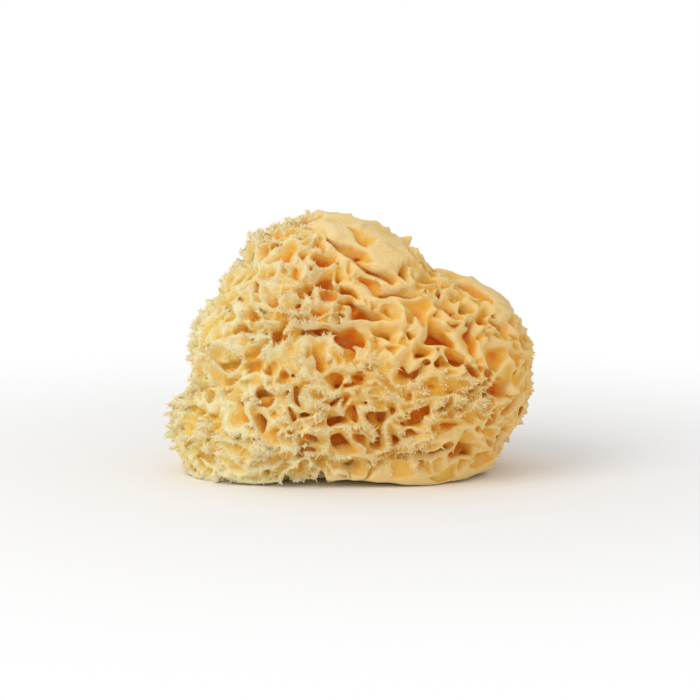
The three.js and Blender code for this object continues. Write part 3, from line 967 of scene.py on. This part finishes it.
def tuft_share(x, y, z):
    """How thickly tufts grow at a point, 0 to 1: one Gaussian around each listed tuft on the front."""
    up = z * math.cos(VIEW_DOWN) + y * math.sin(VIEW_DOWN)
    total = sum(patch(x, up, *tuft) for tuft in TUFTS)
    return np.clip(total, 0, 1) * (y < 0)


def ridge_share(x, y, z):
    """How thickly spines grow on the ridges at a point: the square of the raggedness."""
    return raggedness(x, y, z) ** 2


def spine_chances(area, crest, normal, outward, middle, share_at, ridge_start):
    """How likely each triangle is to bear a spine: its area, less deep under the skin, facing aside, off the
    ridges or near the ground, times a share that depends on the place."""
    depth = -skin_gap(*middle.T)
    facing = np.clip((normal * outward).sum(axis=1) * FACING_GAIN, 0, 1)
    on_top = np.clip(SPINE_DEPTH_START - depth / SPINE_DEPTH, 0, 1) * facing
    on_ridge = np.clip(crest * RIDGE_GAIN + ridge_start, 0, 1)
    weight = area * on_top * on_ridge * share_at(*middle.T) * np.clip(middle[:, 2] / GROUND_FADE, 0, 1)
    return weight / weight.sum()


def scatter_spines(mesh, share_at, ridge_start, count, length, radius, seed):
    """Spines on the wall tops: triangles are drawn by their chances, and a spine stands on each at a random
    point, along its normal, pulled outwards, tilted and bent at random."""
    rng = np.random.default_rng(seed)
    places = mesh_array(mesh.vertices, "co", 3).astype(float) / MM
    mesh.calc_loop_triangles()
    faces = mesh_array(mesh.loop_triangles, "vertices", 3, np.int32)
    a, b, c = (places[faces[:, k]] for k in range(3))
    crest = ridge_sharpness(mesh, places)[faces].mean(axis=1)
    normal = np.cross(b - a, c - a)
    area = np.linalg.norm(normal, axis=1)
    normal /= np.maximum(area, 1e-9)[:, None]
    middle = (a + b + c) / 3
    outward = middle - HEART
    outward /= np.linalg.norm(outward, axis=1, keepdims=True)
    chances = spine_chances(area, crest, normal, outward, middle, share_at, ridge_start)
    drawn = rng.choice(len(faces), count, p=chances)
    share = np.sort(rng.random((count, 2)), axis=1)
    shares = np.stack([share[:, 0], share[:, 1] - share[:, 0], 1 - share[:, 1]], axis=1)
    roots = (places[faces[drawn]] * shares[:, :, None]).sum(axis=1)
    directions = normal[drawn] + SPINE_OUTWARD * outward[drawn] + SPINE_TILT * rng.normal(size=(count, 3))
    directions /= np.linalg.norm(directions, axis=1, keepdims=True)
    sideways = SPINE_BEND * rng.normal(size=(count, 3))
    lengths = length * spread(SPINE_LENGTH, rng.random((count, 1)) ** SHORTNESS)
    radii = radius * spread(SPINE_RADIUS, rng.random((count, 1)))
    vertices, faces = spine_mesh(roots, directions, sideways, lengths, radii)
    vertices[:, 2] = np.maximum(vertices[:, 2], GROUND_CLEARANCE)
    return vertices, faces


class Wire:
    """A shader socket that takes part in Python expressions: each operator adds the Math node that it
    names."""

    def __init__(self, graph, socket):
        self.graph = graph
        self.socket = socket

    def math(self, operation, *values):
        """A Math node with these values or sockets."""
        return self.graph.node("ShaderNodeMath", {"operation": operation}, dict(enumerate(values)))

    def __add__(self, other):
        return self.math("ADD", self, other)

    def __sub__(self, other):
        return self.math("SUBTRACT", self, other)

    def __rsub__(self, other):
        return self.math("SUBTRACT", other, self)

    def __mul__(self, other):
        return self.math("MULTIPLY", self, other)

    __radd__ = __add__
    __rmul__ = __mul__


class Graph:
    """The nodes of a new material or world, added one at a time."""

    def __init__(self, owner):
        owner.use_nodes = True
        self.owner = owner
        self.tree = owner.node_tree
        self.tree.nodes.clear()

    def node(self, kind, settings=None, inputs=None, output=0):
        """Adds a node: its settings are set first, then its sockets get their values or links. Returns one of
        its outputs, if it has any."""
        made = self.tree.nodes.new(kind)
        for name, value in (settings or {}).items():
            setattr(made, name, value)
        for name, value in (inputs or {}).items():
            if isinstance(value, Wire):
                self.tree.links.new(value.socket, made.inputs[name])
            else:
                made.inputs[name].default_value = value
        return Wire(self, made.outputs[output]) if made.outputs else None

    def place(self):
        """The Object coordinates in metres."""
        return self.node("ShaderNodeTexCoord", output="Object")

    def wavering(self, axis, waver):
        """One of the Object coordinates, with slow noise of this height added so that what depends on it
        has a wavering edge."""
        straight = self.node("ShaderNodeSeparateXYZ", {}, {"Vector": self.place()}, output=axis)
        return straight + waver * self.noise("waver")

    def noise(self, kind, detail=3.0, roughness=0.55):
        """Noise from 0 to 1 with about as many lumps in a metre as LUMPS gives for its kind."""
        inputs = {"Vector": self.place(), "Scale": LUMPS[kind], "Detail": detail, "Roughness": roughness}
        return self.node("ShaderNodeTexNoise", {}, inputs)

    def cells(self, kind):
        """The distance to the nearest of scattered points, in units of their spacing. There are about as many
        along a metre as LUMPS gives for their kind."""
        inputs = {"Vector": self.place(), "Scale": LUMPS[kind]}
        return self.node("ShaderNodeTexVoronoi", {}, inputs, output="Distance")

    def between(self, value, low, high):
        """A smooth step from 0 at low to 1 at high."""
        settings = {"interpolation_type": "SMOOTHSTEP"}
        return self.node("ShaderNodeMapRange", settings, {"Value": value, "From Min": low, "From Max": high})

    def mix(self, share, first, second):
        """A colour between two, by share."""
        inputs = {"Factor": share, 6: first, 7: second}
        return self.node("ShaderNodeMix", {"data_type": "RGBA"}, inputs, output=2)

    def colours(self, share, left, right):
        """A colour between two of the settings' colours, by share."""
        return self.mix(share, (*left, 1), (*right, 1))

    def attribute(self, name):
        """A number that the mesh carries at its vertices."""
        return self.node("ShaderNodeAttribute", {"attribute_name": name}, output="Fac")

    def finish(self, sockets):
        """The shader itself, joined to the material's output."""
        shader = self.node("ShaderNodeBsdfPrincipled", {}, sockets)
        self.node("ShaderNodeOutputMaterial", {}, {"Surface": shader})
        return self.owner


def sponge_colours(graph, settings):
    """The sponge's colour, and a painted glow from deep inside the pits: cream on the wall tops, golden and
    amber down the pits and orange brown deep inside, by depth, as painted shade with painted light through
    the thin walls, paler still on the crests as painted light, paler on the left and warmer and darker on the
    right as painted light and shade across the body, warmer on calm walls, yellower in the pits on the left
    and near the ground, with slow mottling and small amber spots."""
    ragged = graph.attribute("rough")
    # Paler on the left, where the light falls, and warmer and darker on the right: painted light and shade
    # across the body.
    side_shade_and_warmth = graph.between(graph.wavering("X", ACROSS_WAVER), *PAINTED_SIDE_SHADE_ACROSS)
    side_shade_and_warmth = side_shade_and_warmth + (1 - side_shade_and_warmth) * (CALM_WARMTH * (1 - ragged))
    red = graph.between(graph.wavering("X", ACROSS_WAVER), *RED_ACROSS)
    red = red * graph.between(graph.wavering("Z", UP_WAVER), *RED_UP)
    top = graph.colours(side_shade_and_warmth, settings.top_left, settings.top_right)
    golden = graph.colours(side_shade_and_warmth, settings.golden_left, settings.golden_right)
    amber = graph.colours(red, settings.amber_left, settings.amber_right)
    deep = graph.colours(red, settings.deep_left, settings.deep_right)
    # Golden, amber and deep by depth: painted shade down the pits, with painted light through the thin walls.
    depth = graph.attribute("depth") + DEPTH_NOISE * (graph.noise("depth") - 0.5)
    # Wall tops paler by their crest: painted light.
    hollow = depth - CREST_PAINTED_LIGHT * graph.attribute("crest")
    colour = graph.mix(graph.between(hollow, *GOLDEN_DEPTHS), top, golden)
    colour = graph.mix(graph.between(hollow, *AMBER_DEPTHS), colour, amber)
    colour = graph.mix(graph.between(hollow, *DEEP_DEPTHS), colour, deep)
    mottle = graph.between(graph.noise("mottle", 4.0), *MOTTLE_LIMITS)
    colour = graph.mix(MOTTLE_SHARE * mottle, colour, (*settings.mottle, 1))
    spot = graph.cells("spots") + SPOT_WAVER * (graph.noise("spot edges") - 0.5)
    spots = (1 - graph.between(spot, *SPOT_LIMITS)) * spread(SPOT_SHARE, ragged)
    # Emission by depth: a painted glow from deep in the pits.
    painted_glow = graph.mix(graph.between(hollow, *PAINTED_GLOW_DEPTHS), (0, 0, 0, 1), deep)
    return graph.mix(spots, colour, amber), painted_glow


def spongin(settings):
    """Dried sponge: its colours, a dry matt surface, and a fine fibrous bump, higher where the walls are
    rough."""
    graph = Graph(bpy.data.materials.new("spongin"))
    colour, painted_glow = sponge_colours(graph, settings)
    warts = graph.noise("warts", 3.0, 0.7) + FINE_WARTS * graph.noise("fine warts")
    warts = warts + ROUND_WARTS * graph.cells("round warts")
    height = warts * spread(WART_SHARE, graph.attribute("rough"))
    inputs = {"Height": height, "Strength": WART_STRENGTH, "Distance": WART_HEIGHT}
    bump = graph.node("ShaderNodeBump", {}, inputs)
    dullness = spread(DULLNESS, graph.noise("dullness"))
    # Emission Color carries the painted glow of the pits.
    sockets = {"Base Color": colour, "Roughness": dullness, "Normal": bump, "Emission Color": painted_glow}
    return graph.finish({**sockets, **TRANSLUCENCY_AND_PAINTED_GLOW})


def box_shift(vertices):
    """The move that puts the middle of the body's box where the middle of the solid's box is."""
    low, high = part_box(CAD_NODE)
    middle = (np.array(low[:2]) + np.array(high[:2])) / 2 / MM
    return middle - (vertices.min(axis=0) + vertices.max(axis=0))[:2] / 2


def spine_spongin(settings):
    """The spines' finish: matt cream, with patches of a darker colour between neighbours, and darker towards
    the right as painted shade across the body.
    """
    graph = Graph(bpy.data.materials.new("spine_spongin"))
    # Paler on the left and darker on the right: painted light and shade across the body.
    side_shade_and_warmth = graph.between(graph.wavering("X", ACROSS_WAVER), *PAINTED_SIDE_SHADE_ACROSS)
    share = 0.5 * side_shade_and_warmth + 0.5 * graph.between(graph.noise("spine patches"), *SPINE_PATCHES)
    colour = graph.colours(share, settings.pale, settings.dark)
    return graph.finish({"Base Color": colour, "Roughness": 0.75, "Specular IOR Level": 0.2})


def pale_floor(colour):
    """The floor's material: matt and pale, fading out with distance from the middle so that it has no visible
    edge."""
    graph = Graph(bpy.data.materials.new("pale_floor"))
    away = graph.node("ShaderNodeVectorMath", {"operation": "LENGTH"}, {0: graph.place()}, output="Value")
    fade = 1 - graph.between(away, *FLOOR_FADE)
    finish = {"Base Color": (*colour, 1), "Roughness": 0.9, "Alpha": fade, "Specular IOR Level": 0.1}
    return graph.finish(finish)


def disc_mesh(radius, rings, spokes):
    """A flat disc at z = 0 with a small hole in its middle: points at radius * ring share and angle, on a
    grid of rings and spokes."""
    share = np.linspace(FLOOR_HOLE, 1, rings)[:, None]
    angle = 2 * math.pi * np.arange(spokes) / spokes
    across, back = radius * share * np.cos(angle), radius * share * np.sin(angle)
    vertices = np.stack([across, back, np.zeros_like(across)], axis=2)
    ring, spoke = np.meshgrid(np.arange(rings - 1), np.arange(spokes), indexing="ij")
    after = (spoke + 1) % spokes
    inner, outer = ring * spokes, (ring + 1) * spokes
    corners = [inner + spoke, outer + spoke, outer + after, inner + after]
    return vertices.reshape(-1, 3), np.stack(corners, axis=-1).reshape(-1, 4)


def add_lamp(name, place, size, power):
    """A square area light aimed at the object."""
    light = bpy.data.lights.new(name, "AREA")
    light.shape = "SQUARE"
    light.size = size
    light.energy = power
    light.color = LAMP_COLOUR
    lamp = bpy.data.objects.new(name, light)
    lamp.location = place
    lamp.rotation_euler = (Vector(LAMP_TARGET) - Vector(place)).to_track_quat("-Z", "Y").to_euler()
    bpy.context.scene.collection.objects.link(lamp)


def light_world(ambient):
    """Even light from all around, seen as plain white behind the object."""
    graph = Graph(bpy.data.worlds.new("white_room"))
    seen = graph.node("ShaderNodeLightPath", output="Is Camera Ray")
    strength = ambient + (1 - ambient) * seen
    background = graph.node("ShaderNodeBackground", {}, {"Color": (1, 1, 1, 1), "Strength": strength})
    graph.node("ShaderNodeOutputWorld", {}, {"Surface": background})
    bpy.context.scene.world = graph.owner


def add_camera(distance):
    """The camera at the photograph's angle: it looks down by VIEW_DOWN at the point that lies in the
    picture's middle, and its lens shows PICTURE_WIDTH at that distance."""
    sight = Vector((0, math.cos(VIEW_DOWN), -math.sin(VIEW_DOWN)))
    up = Vector((0, math.sin(VIEW_DOWN), math.cos(VIEW_DOWN)))
    target = Vector((1, 0, 0)) * PICTURE_MIDDLE[0] + up * PICTURE_MIDDLE[1]
    data = bpy.data.cameras.new("camera")
    data.sensor_width = SENSOR_WIDTH
    data.lens = SENSOR_WIDTH * distance / PICTURE_WIDTH
    data.clip_start = NEAREST_SEEN
    camera = bpy.data.objects.new("camera", data)
    camera.location = target - sight * distance
    camera.rotation_euler = sight.to_track_quat("-Z", "Y").to_euler()
    bpy.context.scene.collection.objects.link(camera)
    bpy.context.scene.camera = camera


class SpongeBodySettings(bpy.types.PropertyGroup):
    """Sizes and colours of the sponge's body."""

    pitch: FloatProperty(
        name="Grid pitch",
        description="Spacing of the grid the body is meshed on",
        default=0.0006,
        unit="LENGTH",
    )
    rise: FloatProperty(
        name="Rise",
        description="How far the skin rises where walls meet",
        default=0.0055,
        unit="LENGTH",
    )
    tip_height: FloatProperty(
        name="Tip height",
        description="Height of the rough tips on the wall tops",
        default=0.0012,
        unit="LENGTH",
    )
    top_left: FloatVectorProperty(
        name="Top, left",
        description="Colour of the wall tops on the left",
        default=(0.98, 0.87, 0.55),
        subtype="COLOR",
    )
    top_right: FloatVectorProperty(
        name="Top, right",
        description="Colour of the wall tops on the right",
        default=(0.85, 0.61, 0.26),
        subtype="COLOR",
    )
    golden_left: FloatVectorProperty(
        name="Golden, left",
        description="Colour of the upper walls on the left",
        default=(0.93, 0.73, 0.31),
        subtype="COLOR",
    )
    golden_right: FloatVectorProperty(
        name="Golden, right",
        description="Colour of the upper walls on the right",
        default=(0.85, 0.49, 0.07),
        subtype="COLOR",
    )
    amber_left: FloatVectorProperty(
        name="Amber, left",
        description="Colour half way down a pit on the left",
        default=(0.88, 0.63, 0.17),
        subtype="COLOR",
    )
    amber_right: FloatVectorProperty(
        name="Amber, right",
        description="Colour half way down a pit on the right",
        default=(0.84, 0.46, 0.05),
        subtype="COLOR",
    )
    deep_left: FloatVectorProperty(
        name="Deep, left",
        description="Colour of a pit's bottom on the left",
        default=(0.83, 0.51, 0.06),
        subtype="COLOR",
    )
    deep_right: FloatVectorProperty(
        name="Deep, right",
        description="Colour of a pit's bottom on the right",
        default=(0.80, 0.24, 0.012),
        subtype="COLOR",
    )
    mottle: FloatVectorProperty(
        name="Mottling",
        description="Colour of the faint patches",
        default=(0.76, 0.55, 0.24),
        subtype="COLOR",
    )


class SpongeSpineSettings(bpy.types.PropertyGroup):
    """Number, sizes and seed of the spines."""

    count: IntProperty(name="Count", description="Number of spines on the wall tops", default=6800, min=1)
    length: FloatProperty(
        name="Length",
        description="Greatest length of a spine",
        default=0.0018,
        unit="LENGTH",
    )
    tuft_count: IntProperty(name="Tuft count", description="Number of spines in tufts", default=1500, min=1)
    tuft_length: FloatProperty(
        name="Tuft length",
        description="Greatest length in a tuft",
        default=0.0028,
        unit="LENGTH",
    )
    radius: FloatProperty(
        name="Radius",
        description="Usual radius at the root",
        default=0.00024,
        unit="LENGTH",
    )
    seed: IntProperty(name="Seed", description="Seed of the scatter", default=5)
    pale: FloatVectorProperty(
        name="Pale",
        description="Colour of most spines",
        default=(0.97, 0.86, 0.57),
        subtype="COLOR",
    )
    dark: FloatVectorProperty(
        name="Dark",
        description="Colour of the darkest spines",
        default=(0.93, 0.74, 0.38),
        subtype="COLOR",
    )


class SpongeStageSettings(bpy.types.PropertyGroup):
    """Light, floor and camera."""

    ambient: FloatProperty(name="Ambient", description="Strength of the light from all around", default=0.71)
    key_power: FloatProperty(
        name="Key light", description="Power of the light at upper left", default=14.0, unit="POWER"
    )
    fill_power: FloatProperty(
        name="Fill light", description="Power of the low light in front", default=1.3, unit="POWER"
    )
    floor: FloatVectorProperty(
        name="Floor", description="Colour of the floor", default=(0.97, 0.97, 0.97), subtype="COLOR"
    )
    distance: FloatProperty(
        name="Camera distance", description="From the camera to the object", default=1.1, unit="LENGTH"
    )


class SPONGE_OT_grow_body(bpy.types.Operator):
    """Mesh the sponge's body with its pits, pores and canals"""

    bl_idname = "sponge.grow_body"
    bl_label = "Grow body"

    def execute(self, context):
        settings = context.scene.sponge_body
        pitch = settings.pitch / MM
        field = sponge_field(pitch, settings.rise / MM, settings.tip_height / MM)
        vertices, quads = largest_shell(*mesh_field(*field))
        vertices = relax(vertices, quads, RELAX_ROUNDS)
        vertices[:, :2] += box_shift(vertices)
        made = new_object(BODY_NAME, vertices * MM, quads)
        if 2 * len(quads) > MOST_TRIANGLES:
            thin_out(made, MOST_TRIANGLES)
        places = mesh_array(made.data.vertices, "co", 3) / MM
        depth = np.clip(-skin_gap(*places.T) / COLOUR_DEPTH, 0, MOST_COLOUR_DEPTH)
        set_attribute(made.data, "depth", depth)
        set_attribute(made.data, "crest", crest_height(made.data, places))
        set_attribute(made.data, "rough", raggedness(*places.T))
        finish_piece(made, spongin(settings))
        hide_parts(CAD_NODE)
        return {"FINISHED"}


class SPONGE_OT_grow_spines(bpy.types.Operator):
    """Stand short spines on the wall tops, and longer ones together in tufts"""

    bl_idname = "sponge.grow_spines"
    bl_label = "Grow spines"

    def execute(self, context):
        settings = context.scene.sponge_spines
        body = bpy.data.objects[BODY_NAME]
        finish = spine_spongin(settings)
        seed, tuft_seed = settings.seed, settings.seed + 1
        kinds = (
            (SPINES_NAME, ridge_share, ON_RIDGES, settings.count, settings.length, seed),
            (TUFTS_NAME, tuft_share, ON_ALL_TOPS, settings.tuft_count, settings.tuft_length, tuft_seed),
        )
        radius = settings.radius / MM
        for name, share_at, ridge_start, count, length, seed in kinds:
            count = count
            spines = scatter_spines(body.data, share_at, ridge_start, count, length / MM, radius, seed)
            made = new_object(name, spines[0] * MM, spines[1])
            made.data.shade_flat()
            finish_piece(made, finish)
        return {"FINISHED"}


class SPONGE_OT_set_stage(bpy.types.Operator):
    """Add the floor, the lights and the camera"""

    bl_idname = "sponge.set_stage"
    bl_label = "Set stage"

    def execute(self, context):
        settings = context.scene.sponge_stage
        floor = new_object("floor", *disc_mesh(FLOOR_FADE[1], FLOOR_RINGS, FLOOR_SPOKES))
        floor.data.materials.append(pale_floor(settings.floor))
        add_lamp("key_light", KEY_PLACE, KEY_SIZE, settings.key_power)
        add_lamp("fill_light", FILL_PLACE, FILL_SIZE, settings.fill_power)
        light_world(settings.ambient)
        add_camera(settings.distance)
        context.scene.view_settings.view_transform = "Standard"
        return {"FINISHED"}


class VIEW3D_PT_sponge(bpy.types.Panel):
    """The sponge's settings and steps"""

    bl_label = "Honeycomb sponge"
    bl_space_type = "VIEW_3D"
    bl_region_type = "UI"
    bl_category = "Sponge"

    def draw(self, context):
        for group, operator in STEPS:
            settings = getattr(context.scene, group)
            for name in settings.__annotations__:
                self.layout.prop(settings, name)
            self.layout.operator(operator.bl_idname)


STEPS = (
    ("sponge_body", SPONGE_OT_grow_body),
    ("sponge_spines", SPONGE_OT_grow_spines),
    ("sponge_stage", SPONGE_OT_set_stage),
)
GROUPS = {
    "sponge_body": SpongeBodySettings,
    "sponge_spines": SpongeSpineSettings,
    "sponge_stage": SpongeStageSettings,
}
CLASSES = (*GROUPS.values(), *(operator for _, operator in STEPS), VIEW3D_PT_sponge)


def register():
    """Adds the settings, operators and panel."""
    for item in CLASSES:
        bpy.utils.register_class(item)
    for name, group in GROUPS.items():
        setattr(bpy.types.Scene, name, PointerProperty(type=group))


def unregister():
    """Takes the settings, operators and panel away again."""
    for name in GROUPS:
        delattr(bpy.types.Scene, name)
    for item in reversed(CLASSES):
        bpy.utils.unregister_class(item)


def main():
    """Builds the body, the spines and the stage."""
    register()
    bpy.ops.sponge.grow_body()
    bpy.ops.sponge.grow_spines()
    bpy.ops.sponge.set_stage()


if __name__ == "__main__":
    main()
